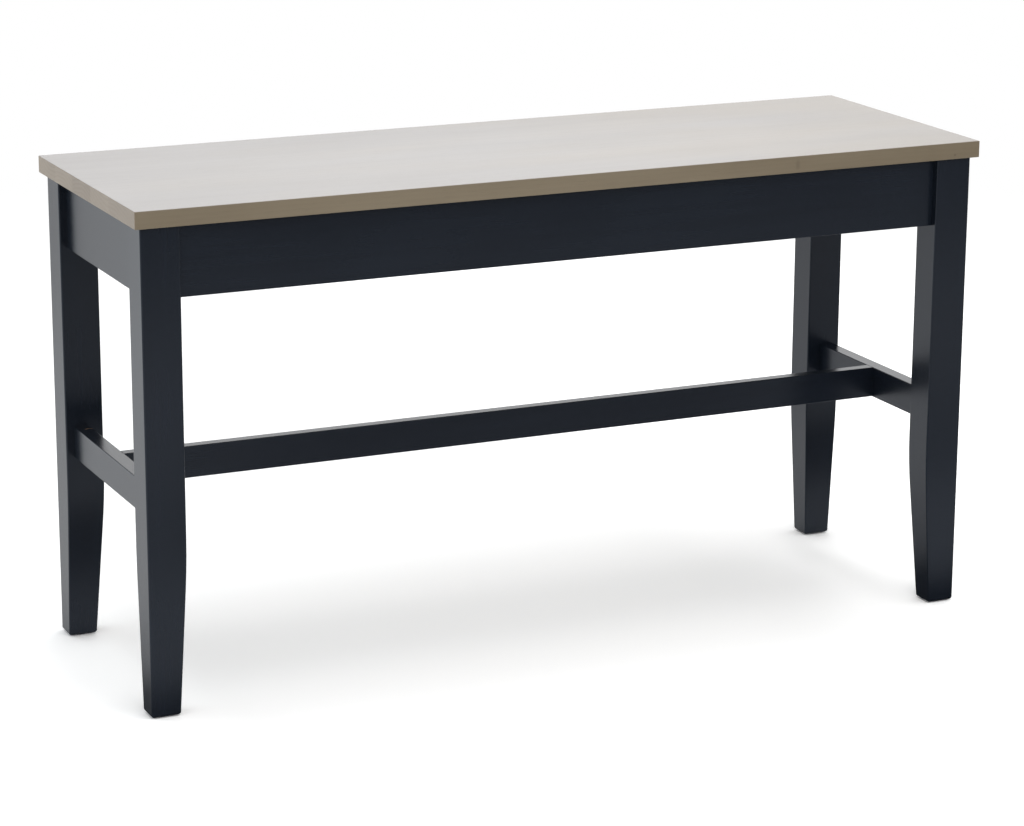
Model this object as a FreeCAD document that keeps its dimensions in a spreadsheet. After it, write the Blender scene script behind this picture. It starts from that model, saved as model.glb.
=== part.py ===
import FreeCAD, Part
import math
import os
import Sketcher

# A backless counter-height bench: a glued-up board seat on a painted frame with four tapered legs,
# four aprons and an H-shaped stretcher. Millimetres, +Z up, length along X, front towards -Y.
# The origin is on the floor under the middle of the seat. Whatever repeats is made once at the front
# left and mirrored to the other corners.

BOARD_COUNT = 5
NUT_SIDES = 6
TINY = 0.001

SIZES = {
    # Seat
    "seat_length": 1117.6,
    "seat_width": 373,
    "seat_height": 611.2,
    "seat_thickness": 21,
    "seat_edge_radius": 1,
    "front_board_width": 95,
    # Legs, set in from the seat's edge and tapered on their two inner faces
    "overhang": 8,
    "leg_width": 48,
    "leg_depth": 44.6,
    "foot_width": 36.4,
    "foot_depth": 31.6,
    "taper_height": 217.6,
    "knee_radius": 1000,
    "leg_edge_radius": 1.8,
    "foot_edge_radius": 4,
    "saw_margin": 10,
    # Aprons, set back from the legs' outer faces
    "apron_height": 87,
    "apron_thickness": 19,
    "apron_recess": 10,
    "apron_edge_radius": 1,
    # Stretchers, flush with each other at top and bottom
    "stretcher_low": 237.6,
    "stretcher_height": 40,
    "stretcher_recess": 10.5,
    "side_stretcher_thickness": 19,
    "centre_stretcher_thickness": 15,
    "stretcher_edge_radius": 1,
    # Corner blocks, across each inner corner of the aprons
    "block_height": 60,
    "block_thickness": 22,
    "block_gap": 3,
    # Bearers, laid flat under the seat between the long aprons
    "bearer_offset": 185,
    "bearer_width": 60,
    "bearer_thickness": 20,
    "bearer_edge_radius": 2,
    # Hanger bolts, from a flat on each leg's inner corner through the block
    "bolt_flat": 10,
    "bolt_radius": 4,
    "bolt_depth": 38,
    "bolt_point": 5,
    "bolt_tail": 3,
    "bolt_spacing": 30,
    "washer_radius": 8,
    "washer_thickness": 1.6,
    "nut_width": 13,
    "nut_height": 6.5,
    # Pan-head wood screws
    "screw_radius": 2,
    "screw_point": 5,
    "screw_head_radius": 4,
    "screw_head_height": 2.6,
    "screw_head_room": 0.6,
    "seat_screw_shift": 10,
    "block_screw_grip": 9,
    "block_screw_spacing": 40,
    # Dowels across the joints
    "dowel_radius": 4,
    "dowel_depth": 14,
    "apron_dowel_spacing": 40,
    "stretcher_dowel_spacing": 20,
    "bearer_dowel_spacing": 36,
    # Nail-on glides, let into the feet
    "glide_radius": 9,
    "glide_thickness": 2,
    "glide_chamfer": 0.5,
    "glide_stand": 0.5,
    "nail_radius": 1.2,
    "nail_length": 14,
    "nail_point": 3,
    # Room left round a fastener and past its end, and the wood left past a blind one
    "fit_gap": 0.25,
    "end_gap": 1,
    "wood_cover": 5,
}

LAYOUT = {
    # Outer corner of the front left leg
    "leg_x": "-Sizes.seat_length / 2 + Sizes.overhang",
    "leg_y": "-Sizes.seat_width / 2 + Sizes.overhang",
    "frame_top": "Sizes.seat_height - Sizes.seat_thickness",
    "leg_height": "frame_top - Sizes.glide_stand",
    # Clear lengths between the legs
    "long_span": "-2 * (leg_x + Sizes.leg_width)",
    "end_span": "-2 * (leg_y + Sizes.leg_depth)",
    # Aprons, measured inwards from the legs' outer faces
    "apron_inner": "Sizes.apron_recess + Sizes.apron_thickness",
    "apron_mid": "Sizes.apron_recess + Sizes.apron_thickness / 2",
    "apron_low": "frame_top - Sizes.apron_height",
    "apron_centre": "frame_top - Sizes.apron_height / 2",
    # Stretchers
    "side_x": "leg_x + Sizes.stretcher_recess",
    "side_mid": "Sizes.stretcher_recess + Sizes.side_stretcher_thickness / 2",
    "centre_x": "side_x + Sizes.side_stretcher_thickness",
    "stretcher_centre": "Sizes.stretcher_low + Sizes.stretcher_height / 2",
    # Middle of the bolt flat, and of the corner block's two slanted faces, from the leg's outer corner
    "flat_across": "Sizes.leg_width - Sizes.bolt_flat / 2",
    "flat_deep": "Sizes.leg_depth - Sizes.bolt_flat / 2",
    "block_outer": "(flat_across + flat_deep) / 2 + Sizes.block_gap * sqrt(0.5)",
    "block_inner": "block_outer + Sizes.block_thickness * sqrt(0.5)",
    "block_near": "2 * block_outer - apron_inner",
    "block_far": "2 * block_inner - apron_inner",
    "block_centre": "frame_top - Sizes.block_height / 2",
    "bolt_length": "Sizes.bolt_depth + Sizes.block_gap + Sizes.block_thickness + Sizes.washer_thickness"
                   " + Sizes.nut_height + Sizes.bolt_tail",
    # Blind fasteners, as deep as the wood behind the joint allows
    "seat_screw_length": "Sizes.bearer_thickness + Sizes.seat_thickness - Sizes.wood_cover",
    "block_screw_length": "Sizes.block_screw_grip + Sizes.apron_thickness - Sizes.wood_cover",
    "apron_blind_depth": "Sizes.apron_thickness - Sizes.wood_cover",
    "side_blind_depth": "Sizes.side_stretcher_thickness - Sizes.wood_cover",
    # Bearers and seat boards
    "bearer_front": "leg_y + apron_inner",
    "first_seam": "-Sizes.seat_width / 2 + Sizes.front_board_width",
    "board_width": f"(Sizes.seat_width - Sizes.front_board_width) / {BOARD_COUNT - 1}",
    "last_seam": f"first_seam + {BOARD_COUNT - 2} * board_width",
}

DIRECTIONS = {
    "x": FreeCAD.Vector(1, 0, 0),
    "-x": FreeCAD.Vector(-1, 0, 0),
    "y": FreeCAD.Vector(0, 1, 0),
    "-y": FreeCAD.Vector(0, -1, 0),
    "z": FreeCAD.Vector(0, 0, 1),
    "diagonal": FreeCAD.Vector(1, 1, 0).normalize(),
}

doc = FreeCAD.newDocument("counter_bench")
nodes = []


def fill_sheet(name, cells, sign):
    """A sheet with one named value per row."""
    sheet = doc.addObject("Spreadsheet::Sheet", name)
    for row, (alias, value) in enumerate(cells.items(), 1):
        sheet.set(f"A{row}", alias)
        sheet.set(f"B{row}", f"{sign}{value}")
        sheet.setAlias(f"B{row}", alias)
    doc.recompute()
    return sheet


sizes = fill_sheet("Sizes", SIZES, "")
layout = fill_sheet("Layout", LAYOUT, "=")


# Placing and combining

def place(piece, x, y, z):
    """Ties a piece's position to three formulas."""
    for axis, formula in zip("xyz", (x, y, z)):
        piece.setExpression(f"Placement.Base.{axis}", formula)


def aim(piece, start, way):
    """Stands a piece's own Z axis along a direction, from a start point."""
    turn = FreeCAD.Rotation(DIRECTIONS["z"], DIRECTIONS[way])
    piece.Placement = FreeCAD.Placement(FreeCAD.Vector(), turn)
    place(piece, *start)


def corner(across, deep, height):
    """A point measured inwards from the outer corner of the front left leg."""
    return (f"Layout.leg_x + {across}", f"Layout.leg_y + {deep}", height)


def along(start, way, distance):
    """A start point moved by a distance in a direction."""
    return [f"{formula} + ({distance}) * ({part})" for formula, part in zip(start, DIRECTIONS[way])]


def gather(name, pieces):
    """Several pieces as one group."""
    group = doc.addObject("Part::Compound", name)
    group.Links = pieces
    return group


def join(name, pieces):
    """Several solids as one solid."""
    whole = doc.addObject("Part::MultiFuse", name)
    whole.Shapes = pieces
    return whole


def mirrored(name, piece, way):
    """The opposite-hand copy of a piece across the bench's middle."""
    copy = doc.addObject("Part::Mirroring", name)
    copy.Source = piece
    copy.Normal = DIRECTIONS[way]
    return copy


def both_ways(name, pieces, way):
    """A group and its opposite-hand copy."""
    half = gather(f"{name}_half", pieces)
    return gather(name, [half, mirrored(f"{name}_other_half", half, way)])


def four_corners(name, pieces):
    """A front left group, repeated at all four corners."""
    return both_ways(name, [both_ways(f"{name}_front", pieces, "x")], "y")


def drill(name, blank, bores):
    """A piece of wood with the bores of its fasteners cut out of it."""
    drilled = doc.addObject("Part::Cut", name)
    drilled.Base = blank
    drilled.Tool = gather(f"{name}_bores", bores)
    doc.recompute()
    if drilled.Shape.Volume > blank.Shape.Volume - TINY:
        raise RuntimeError(f"the bores miss {name}")
    return drilled


def keep(*pieces):
    """Lists finished pieces of the bench."""
    nodes.extend(pieces)


def keep_corners(stem, piece):
    """Lists a front left piece and its copies at the other three corners."""
    front_right = mirrored(f"{stem}_front_right", piece, "x")
    back_left = mirrored(f"{stem}_back_left", piece, "y")
    back_right = mirrored(f"{stem}_back_right", front_right, "y")
    keep(piece, front_right, back_left, back_right)


# Outlines and wooden blanks

def new_sketch(body, name, role):
    """An empty sketch on one of a body's own planes."""
    sketch = body.newObject("Sketcher::SketchObject", name)
    plane = next(feature for feature in body.Origin.OriginFeatures if feature.Role == role)
    sketch.AttachmentSupport = [(plane, "")]
    sketch.MapMode = "FlatFace"
    return sketch


def dimension(sketch, kind, line, end, formula):
    """Holds one end of a line at a distance from the sketch's origin, or on its axis for zero."""
    if formula == "0":
        axis = {"DistanceX": -2, "DistanceY": -1}[kind]
        sketch.addConstraint(Sketcher.Constraint("PointOnObject", line, end, axis))
        return
    value = sizes.evalExpression(formula)
    index = sketch.addConstraint(Sketcher.Constraint(kind, -1, 1, line, end, value))
    sketch.setExpression(f"Constraints[{index}]", formula)


def polygon(sketch, points):
    """A closed outline of straight lines whose corners are dimensioned from the origin."""
    corners = [FreeCAD.Vector(*(sizes.evalExpression(part) for part in point)) for point in points]
    for line, start in enumerate(corners):
        sketch.addGeometry(Part.LineSegment(start, corners[(line + 1) % len(corners)]))
    for line, (across, up) in enumerate(points):
        before = (line - 1) % len(points)
        sketch.addConstraint(Sketcher.Constraint("Coincident", before, 2, line, 1))
        dimension(sketch, "DistanceX", line, 1, across)
        dimension(sketch, "DistanceY", line, 1, up)


def pad(body, name, sketch, length):
    """Raises an outline into a solid."""
    solid = body.newObject("PartDesign::Pad", name)
    solid.Profile = sketch
    solid.setExpression("Length", length)
    return solid


def ease(body, name, base, edges, radius):
    """Rounds chosen edges of a body's latest feature."""
    places = [k for k, edge in enumerate(base.Shape.Edges, 1) if any(edge.isSame(one) for one in edges)]
    rounded = body.newObject("PartDesign::Fillet", name)
    rounded.Base = (base, [f"Edge{k}" for k in places])
    rounded.setExpression("Radius", radius)
    doc.recompute()
    return rounded


def every_edge(shape):
    return shape.Edges


def long_edges(shape):
    return [edge for edge in shape.Edges if edge.Length > shape.BoundBox.DiagonalLength / 2]


def lower_long_edges(shape):
    return [edge for edge in long_edges(shape) if edge.BoundBox.ZMax < TINY]


def timber(name, start, length, width, height, eased, radius):
    """A straight piece of wood with some of its edges eased."""
    body = doc.addObject("PartDesign::Body", name)
    place(body, *start)
    sketch = new_sketch(body, f"{name}_outline", "XY_Plane")
    polygon(sketch, [("0", "0"), (length, "0"), (length, width), ("0", width)])
    solid = pad(body, f"{name}_pad", sketch, height)
    doc.recompute()
    ease(body, f"{name}_easing", solid, eased(solid.Shape), radius)
    return body


# Fasteners: each comes with the bore that takes it

def rod(name, start, way, length, radius):
    """A cylinder from a start point in a direction."""
    piece = doc.addObject("Part::Cylinder", name)
    piece.setExpression("Radius", radius)
    piece.setExpression("Height", length)
    aim(piece, start, way)
    return piece


def point(name, start, way, length, radius):
    """A cone that runs out to a point."""
    piece = doc.addObject("Part::Cone", name)
    piece.setExpression("Radius1", radius)
    piece.Radius2 = 0
    piece.setExpression("Height", length)
    aim(piece, start, way)
    return piece


def dowel(name, joint, way, behind):
    """A dowel that goes a given depth into the wood behind a joint, and its bore."""
    length = f"{behind} + Sizes.dowel_depth"
    pin = rod(name, along(joint, way, f"-{behind}"), way, length, "Sizes.dowel_radius")
    start = along(joint, way, f"-{behind} - Sizes.end_gap")
    room = "Sizes.dowel_radius + Sizes.fit_gap"
    bore = rod(f"{name}_bore", start, way, f"{length} + 2 * Sizes.end_gap", room)
    return pin, bore


def dowel_pair(name, joint, way, behind, axis, spacing):
    """Two dowels side by side across a joint, and their bores."""
    low = dowel(f"{name}_1", along(joint, axis, f"-{spacing} / 2"), way, behind)
    high = dowel(f"{name}_2", along(joint, axis, f"{spacing} / 2"), way, behind)
    return [low[0], high[0]], [low[1], high[1]]


def screw(name, seat, way, length, counterbore):
    """A pan-head screw whose head stands behind its seat, and its bore, wider behind the seat."""
    head = "Sizes.screw_head_height"
    body = f"{length} - Sizes.screw_point"
    pieces = [
        rod(f"{name}_head", along(seat, way, f"-{head}"), way, head, "Sizes.screw_head_radius"),
        rod(f"{name}_shank", seat, way, body, "Sizes.screw_radius"),
        point(f"{name}_point", along(seat, way, body), way, "Sizes.screw_point", "Sizes.screw_radius"),
    ]
    reach = f"{length} + Sizes.end_gap"
    bore = rod(f"{name}_pilot", seat, way, reach, "Sizes.screw_radius + Sizes.fit_gap")
    if counterbore:
        room = "Sizes.screw_head_radius + Sizes.screw_head_room"
        wide = rod(f"{name}_room", along(seat, way, f"-({counterbore})"), way, counterbore, room)
        bore = join(f"{name}_bore", [bore, wide])
    return join(name, pieces), bore


def hanger_bolt(name, height):
    """A bolt set in the leg's inner corner, its washer and nut against the block, and the bore."""
    flat = corner("Layout.flat_across", "Layout.flat_deep", height)
    way = "diagonal"
    start = along(flat, way, "-Sizes.bolt_depth + Sizes.bolt_point")
    shank = rod(f"{name}_shank", start, way, "Layout.bolt_length - Sizes.bolt_point", "Sizes.bolt_radius")
    tip = point(f"{name}_tip", start, way, "Sizes.bolt_point", "Sizes.bolt_radius")
    tip.Placement.Rotation = FreeCAD.Rotation(DIRECTIONS["z"], -DIRECTIONS[way])
    bolt = join(name, [shank, tip])

    hole = "Sizes.bolt_radius + Sizes.fit_gap"
    bore_start = along(flat, way, "-Sizes.bolt_depth - Sizes.end_gap")
    bore = rod(f"{name}_bore", bore_start, way, "Layout.bolt_length + Sizes.end_gap", hole)

    washer_start = along(flat, way, "Sizes.block_gap + Sizes.block_thickness")
    disc = rod(f"{name}_disc", washer_start, way, "Sizes.washer_thickness", "Sizes.washer_radius")
    washer = ring(f"{name}_washer", disc, bore)

    hexagon = doc.addObject("Part::Prism", f"{name}_hexagon")
    hexagon.Polygon = NUT_SIDES
    hexagon.setExpression("Circumradius", "Sizes.nut_width / sqrt(3)")
    hexagon.setExpression("Height", "Sizes.nut_height")
    aim(hexagon, along(washer_start, way, "Sizes.washer_thickness"), way)
    return bolt, washer, ring(f"{name}_nut", hexagon, bore), bore


def ring(name, blank, bore):
    """A washer or nut: a blank with the bolt's bore through it."""
    piece = doc.addObject("Part::Cut", name)
    piece.Base = blank
    piece.Tool = bore
    return piece


# Hanger bolts and corner block screws, at the front left corner

bolts = [
    hanger_bolt(f"hanger_bolt_{k}", f"Layout.block_centre {side} Sizes.bolt_spacing / 2")
    for k, side in enumerate("-+")
]
bolt_bores = [bore for bolt, washer, nut, bore in bolts]

wing_mid = "(Layout.block_near + Layout.block_far) / 2"
screw_seat = "Layout.apron_inner + Sizes.block_screw_grip"
front_block_screws = []
end_block_screws = []
for k, side in enumerate("-+"):
    height = f"Layout.block_centre {side} Sizes.block_screw_spacing / 2"
    details = ("Layout.block_screw_length", "Sizes.block_thickness")
    front_seat = corner(wing_mid, screw_seat, height)
    end_seat = corner(screw_seat, wing_mid, height)
    front_block_screws.append(screw(f"front_block_screw_{k}", front_seat, "-y", *details))
    end_block_screws.append(screw(f"end_block_screw_{k}", end_seat, "-x", *details))
front_block_bores = [bore for one, bore in front_block_screws]
end_block_bores = [bore for one, bore in end_block_screws]

# Dowels of the aprons, the stretchers and the left bearer

long_joint = corner("Sizes.leg_width", "Layout.apron_mid", "Layout.apron_centre")
end_joint = corner("Layout.apron_mid", "Sizes.leg_depth", "Layout.apron_centre")
side_joint = corner("Layout.side_mid", "Sizes.leg_depth", "Layout.stretcher_centre")
centre_joint = ("Layout.centre_x", "0", "Layout.stretcher_centre")
bearer_centre = "Layout.frame_top - Sizes.bearer_thickness / 2"
bearer_joint = ("-Sizes.bearer_offset", "Layout.bearer_front", bearer_centre)
into_leg = "Sizes.dowel_depth"
long_dowels, long_bores = dowel_pair(
    "long_dowel", long_joint, "x", into_leg, "z", "Sizes.apron_dowel_spacing"
)
end_dowels, end_bores = dowel_pair(
    "end_dowel", end_joint, "y", into_leg, "z", "Sizes.apron_dowel_spacing"
)
side_dowels, side_bores = dowel_pair(
    "side_dowel", side_joint, "y", into_leg, "z", "Sizes.stretcher_dowel_spacing"
)
centre_dowels, centre_bores = dowel_pair(
    "centre_dowel", centre_joint, "x", "Layout.side_blind_depth", "z", "Sizes.stretcher_dowel_spacing"
)
bearer_dowels, bearer_bores = dowel_pair(
    "bearer_dowel", bearer_joint, "y", "Layout.apron_blind_depth", "x", "Sizes.bearer_dowel_spacing"
)

# Seat screws: one through the corner block, and one per board through the left bearer

block_seat = corner(
    "(Layout.block_outer + Layout.block_inner) / 2 + Sizes.seat_screw_shift",
    "(Layout.block_outer + Layout.block_inner) / 2 - Sizes.seat_screw_shift",
    "Layout.frame_top - Sizes.bearer_thickness",
)
corner_screw, corner_bore = screw(
    "corner_seat_screw", block_seat, "z", "Layout.seat_screw_length", "Sizes.block_height"
)

board_middles = [f"Layout.first_seam + {k + 0.5} * Layout.board_width" for k in range(BOARD_COUNT - 2)]
screw_rows = [
    "(Layout.bearer_front + Layout.first_seam) / 2",
    *board_middles,
    "(Layout.last_seam - Layout.bearer_front) / 2",
]
bearer_screws = [
    screw(
        f"bearer_screw_{k}",
        ("-Sizes.bearer_offset", row, "Layout.frame_top - Sizes.bearer_thickness"),
        "z", "Layout.seat_screw_length", None,
    )
    for k, row in enumerate(screw_rows)
]
bearer_screw_bores = [bore for one, bore in bearer_screws]
seat_bores = gather("seat_bores", [
    four_corners("corner_seat_bores", [corner_bore]),
    both_ways("bearer_seat_bores", bearer_screw_bores, "x"),
])

# Glide: a chamfered disc in a recess under the foot, nailed up into the leg

foot_mid = corner("Sizes.foot_width / 2", "Sizes.foot_depth / 2", "0")
nail_start = along(foot_mid, "z", "Sizes.glide_thickness")
rim = doc.addObject("Part::Cone", "glide_rim")
rim.setExpression("Radius1", "Sizes.glide_radius - Sizes.glide_chamfer")
rim.setExpression("Radius2", "Sizes.glide_radius")
rim.setExpression("Height", "Sizes.glide_chamfer")
aim(rim, foot_mid, "z")
disc = rod(
    "glide_disc", along(foot_mid, "z", "Sizes.glide_chamfer"), "z",
    "Sizes.glide_thickness - Sizes.glide_chamfer", "Sizes.glide_radius",
)
nail_body = "Sizes.nail_length - Sizes.nail_point"
nail = rod("glide_nail", nail_start, "z", nail_body, "Sizes.nail_radius")
nail_end = along(nail_start, "z", nail_body)
nail_tip = point("glide_nail_tip", nail_end, "z", "Sizes.nail_point", "Sizes.nail_radius")
glide = join("glide_front_left", [rim, disc, nail, nail_tip])
nail_bore = rod(
    "glide_nail_bore", nail_start, "z",
    "Sizes.nail_length + Sizes.end_gap", "Sizes.nail_radius + Sizes.fit_gap",
)
recess = rod("glide_recess", foot_mid, "z", "Sizes.glide_thickness", "Sizes.glide_radius + Sizes.fit_gap")
glide_bore = join("glide_bore", [recess, nail_bore])


# Leg: a blank sawn to a curved profile from two sides, its edges rounded

def leg_profile(sketch, side, low_side, far_edge):
    """A leg's inner side, straight, then an arc, then a taper to the foot, closed at far_edge."""
    size = sizes.evalExpression(side)
    low_size = sizes.evalExpression(low_side)
    far = sizes.evalExpression(far_edge)
    height = layout.leg_height
    radius = sizes.knee_radius
    start = sizes.taper_height
    across = radius - size + low_size
    bend = math.atan2(start, across) - math.acos(radius / math.hypot(start, across))

    knee_top = FreeCAD.Vector(size, start)
    knee_centre = FreeCAD.Vector(size - radius, start)
    knee_low = knee_centre + FreeCAD.Vector(radius * math.cos(bend), -radius * math.sin(bend))
    circle = Part.Circle(knee_centre, DIRECTIONS["z"], radius)
    top = FreeCAD.Vector(size, height)
    foot = FreeCAD.Vector(low_size, 0)
    far_low = FreeCAD.Vector(far, 0)
    far_top = FreeCAD.Vector(far, height)

    straight = sketch.addGeometry(Part.LineSegment(top, knee_top))
    knee = sketch.addGeometry(Part.ArcOfCircle(circle, -bend, 0))
    taper = sketch.addGeometry(Part.LineSegment(knee_low, foot))
    floor_line = sketch.addGeometry(Part.LineSegment(foot, far_low))
    far_line = sketch.addGeometry(Part.LineSegment(far_low, far_top))
    top_line = sketch.addGeometry(Part.LineSegment(far_top, top))

    ties = [
        ("Vertical", straight),
        ("Tangent", straight, 2, knee, 2),
        ("Tangent", knee, 1, taper, 1),
        ("Coincident", taper, 2, floor_line, 1),
        ("Horizontal", floor_line),
        ("Coincident", floor_line, 2, far_line, 1),
        ("Vertical", far_line),
        ("Coincident", far_line, 2, top_line, 1),
        ("Horizontal", top_line),
        ("Coincident", top_line, 2, straight, 1),
    ]
    for tie in ties:
        sketch.addConstraint(Sketcher.Constraint(*tie))
    dimension(sketch, "DistanceX", straight, 1, side)
    dimension(sketch, "DistanceY", straight, 1, "Layout.leg_height")
    dimension(sketch, "DistanceY", straight, 2, "Sizes.taper_height")
    dimension(sketch, "DistanceX", taper, 2, low_side)
    dimension(sketch, "DistanceY", taper, 2, "0")
    dimension(sketch, "DistanceX", far_line, 1, far_edge)
    knee_size = sketch.addConstraint(Sketcher.Constraint("Radius", knee, radius))
    sketch.setExpression(f"Constraints[{knee_size}]", "Sizes.knee_radius")


def cut_through(body, name, sketch, before):
    """Saws an outline right through a body, both ways from its sketch."""
    pocket = body.newObject("PartDesign::Pocket", name)
    pocket.Profile = sketch
    pocket.Type = "ThroughAll"
    pocket.Midplane = True
    doc.recompute()
    if pocket.Shape.Volume > before.Shape.Volume - TINY:
        raise RuntimeError(f"{name} cuts nothing")
    return pocket


def make_leg():
    """A leg with tapered inner faces, rounded edges and a flat for the bolts on its inner corner."""
    body = doc.addObject("PartDesign::Body", "leg_blank")
    place(body, *corner("0", "0", "Sizes.glide_stand"))

    front_view = new_sketch(body, "leg_front_view", "XZ_Plane")
    leg_profile(front_view, "Sizes.leg_width", "Sizes.foot_width", "0")
    blank = pad(body, "leg_pad", front_view, "Sizes.leg_depth + Sizes.saw_margin")
    blank.Reversed = True
    doc.recompute()

    end_view = new_sketch(body, "leg_end_view", "YZ_Plane")
    leg_profile(end_view, "Sizes.leg_depth", "Sizes.foot_depth", "Sizes.leg_depth + 2 * Sizes.saw_margin")
    sawn = cut_through(body, "leg_taper", end_view, blank)

    low = [edge for edge in sawn.Shape.Edges if edge.BoundBox.ZMax < TINY]
    footed = ease(body, "leg_foot_edge", sawn, low, "Sizes.foot_edge_radius")
    tall = [edge for edge in footed.Shape.Edges if edge.BoundBox.ZLength > 2 * sizes.foot_edge_radius]
    rounded = ease(body, "leg_edges", footed, tall, "Sizes.leg_edge_radius")

    past_width = "Sizes.leg_width + Sizes.saw_margin"
    past_depth = "Sizes.leg_depth + Sizes.saw_margin"
    slant = "Sizes.bolt_flat + 2 * Sizes.saw_margin"
    flat_sketch = new_sketch(body, "leg_flat_outline", "XY_Plane")
    polygon(flat_sketch, [
        (f"{past_width} - ({slant})", past_depth),
        (past_width, f"{past_depth} - ({slant})"),
        (past_width, past_depth),
    ])
    flat_sketch.setExpression("AttachmentOffset.Base.z", "Layout.leg_height")
    flat = body.newObject("PartDesign::Pocket", "leg_flat")
    flat.Profile = flat_sketch
    flat.setExpression("Length", "Sizes.apron_height")
    doc.recompute()
    if flat.Shape.Volume > rounded.Shape.Volume - TINY:
        raise RuntimeError("the bolt flat cuts nothing")
    return body


leg_bores = [*bolt_bores, *long_bores, *end_bores, *side_bores, glide_bore]
keep_corners("leg", drill("leg_front_left", make_leg(), leg_bores))
keep_corners("glide", glide)

# Aprons between the legs, tight under the seat

apron_front = timber(
    "apron_front_blank",
    corner("Sizes.leg_width", "Sizes.apron_recess", "Layout.apron_low"),
    "Layout.long_span", "Sizes.apron_thickness", "Sizes.apron_height",
    lower_long_edges, "Sizes.apron_edge_radius",
)
front_bores = both_ways("front_apron_bores", [*long_bores, *front_block_bores, *bearer_bores], "x")
apron_front = drill("apron_front", apron_front, [front_bores])

apron_left = timber(
    "apron_left_blank",
    corner("Sizes.apron_recess", "Sizes.leg_depth", "Layout.apron_low"),
    "Sizes.apron_thickness", "Layout.end_span", "Sizes.apron_height",
    lower_long_edges, "Sizes.apron_edge_radius",
)
left_bores = both_ways("left_apron_bores", [*end_bores, *end_block_bores], "y")
apron_left = drill("apron_left", apron_left, [left_bores])
keep(apron_front, mirrored("apron_back", apron_front, "y"))
keep(apron_left, mirrored("apron_right", apron_left, "x"))

# Stretchers: one between the legs of each end, and one between those two

stretcher_left = timber(
    "stretcher_left_blank",
    corner("Sizes.stretcher_recess", "Sizes.leg_depth", "Sizes.stretcher_low"),
    "Sizes.side_stretcher_thickness", "Layout.end_span", "Sizes.stretcher_height",
    long_edges, "Sizes.stretcher_edge_radius",
)
stretcher_bores = [both_ways("left_stretcher_bores", side_bores, "y"), *centre_bores]
stretcher_left = drill("stretcher_left", stretcher_left, stretcher_bores)

stretcher_centre = timber(
    "stretcher_centre_blank",
    ("Layout.centre_x", "-Sizes.centre_stretcher_thickness / 2", "Sizes.stretcher_low"),
    "-2 * Layout.centre_x", "Sizes.centre_stretcher_thickness", "Sizes.stretcher_height",
    long_edges, "Sizes.stretcher_edge_radius",
)
centre_end_bores = both_ways("centre_stretcher_bores", centre_bores, "x")
stretcher_centre = drill("stretcher_centre", stretcher_centre, [centre_end_bores])
keep(stretcher_left, mirrored("stretcher_right", stretcher_left, "x"), stretcher_centre)

# Corner blocks: mitred to lie flat on two aprons, with a gap before the leg

block = doc.addObject("PartDesign::Body", "corner_block_blank")
place(block, *corner("0", "0", "Layout.frame_top - Sizes.block_height"))
block_outline = new_sketch(block, "corner_block_outline", "XY_Plane")
polygon(block_outline, [
    ("Layout.block_near", "Layout.apron_inner"),
    ("Layout.block_far", "Layout.apron_inner"),
    ("Layout.apron_inner", "Layout.block_far"),
    ("Layout.apron_inner", "Layout.block_near"),
])
pad(block, "corner_block_pad", block_outline, "Sizes.block_height")
doc.recompute()
block_bores = [*bolt_bores, *front_block_bores, *end_block_bores, corner_bore]
keep_corners("corner_block", drill("corner_block_front_left", block, block_bores))

# Bearers under the seat

bearer = timber(
    "seat_bearer_blank",
    (
        "-Sizes.bearer_offset - Sizes.bearer_width / 2",
        "Layout.bearer_front",
        "Layout.frame_top - Sizes.bearer_thickness",
    ),
    "Sizes.bearer_width", "-2 * Layout.bearer_front", "Sizes.bearer_thickness",
    lower_long_edges, "Sizes.bearer_edge_radius",
)
bearer_holes = [both_ways("bearer_end_bores", bearer_bores, "y"), *bearer_screw_bores]
bearer = drill("seat_bearer_left", bearer, bearer_holes)
keep(bearer, mirrored("seat_bearer_right", bearer, "x"))

# Seat: one slab with eased edges, divided along its glue lines into boards

slab = timber(
    "seat_slab",
    ("-Sizes.seat_length / 2", "-Sizes.seat_width / 2", "Layout.frame_top"),
    "Sizes.seat_length", "Sizes.seat_width", "Sizes.seat_thickness",
    every_edge, "Sizes.seat_edge_radius",
)
slab = drill("seat_slab_drilled", slab, [seat_bores])
for number in range(1, BOARD_COUNT + 1):
    front = f"Layout.first_seam + {number - 2} * Layout.board_width"
    back = f"Layout.first_seam + {number - 1} * Layout.board_width"
    if number == 1:
        front = "-Sizes.seat_width / 2 - Sizes.saw_margin"
    if number == BOARD_COUNT:
        back = "Sizes.seat_width / 2 + Sizes.saw_margin"
    strip = doc.addObject("Part::Box", f"seat_strip_{number}")
    strip.setExpression("Length", "Sizes.seat_length + 2 * Sizes.saw_margin")
    strip.setExpression("Width", f"{back} - ({front})")
    strip.setExpression("Height", "Sizes.seat_thickness + 2 * Sizes.saw_margin")
    place(strip, "-Sizes.seat_length / 2 - Sizes.saw_margin", front, "Layout.frame_top - Sizes.saw_margin")
    board = doc.addObject("Part::Common", f"seat_board_{number}")
    board.Base = slab
    board.Tool = strip
    keep(board)

# Fasteners of one kind are one group each

keep(four_corners("hanger_bolts", [bolt for bolt, washer, nut, bore in bolts]))
keep(four_corners("bolt_washers", [washer for bolt, washer, nut, bore in bolts]))
keep(four_corners("bolt_nuts", [nut for bolt, washer, nut, bore in bolts]))
keep(four_corners("block_screws", [one for one, bore in front_block_screws + end_block_screws]))
keep(gather("seat_screws", [
    four_corners("corner_seat_screws", [corner_screw]),
    both_ways("bearer_seat_screws", [one for one, bore in bearer_screws], "x"),
]))
keep(four_corners("apron_dowels", long_dowels + end_dowels))
keep(four_corners("bearer_dowels", bearer_dowels))
keep(gather("stretcher_dowels", [
    four_corners("side_stretcher_dowels", side_dowels),
    both_ways("centre_stretcher_dowels", centre_dowels, "x"),
]))

# Every object is sound before any piece is written

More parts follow.
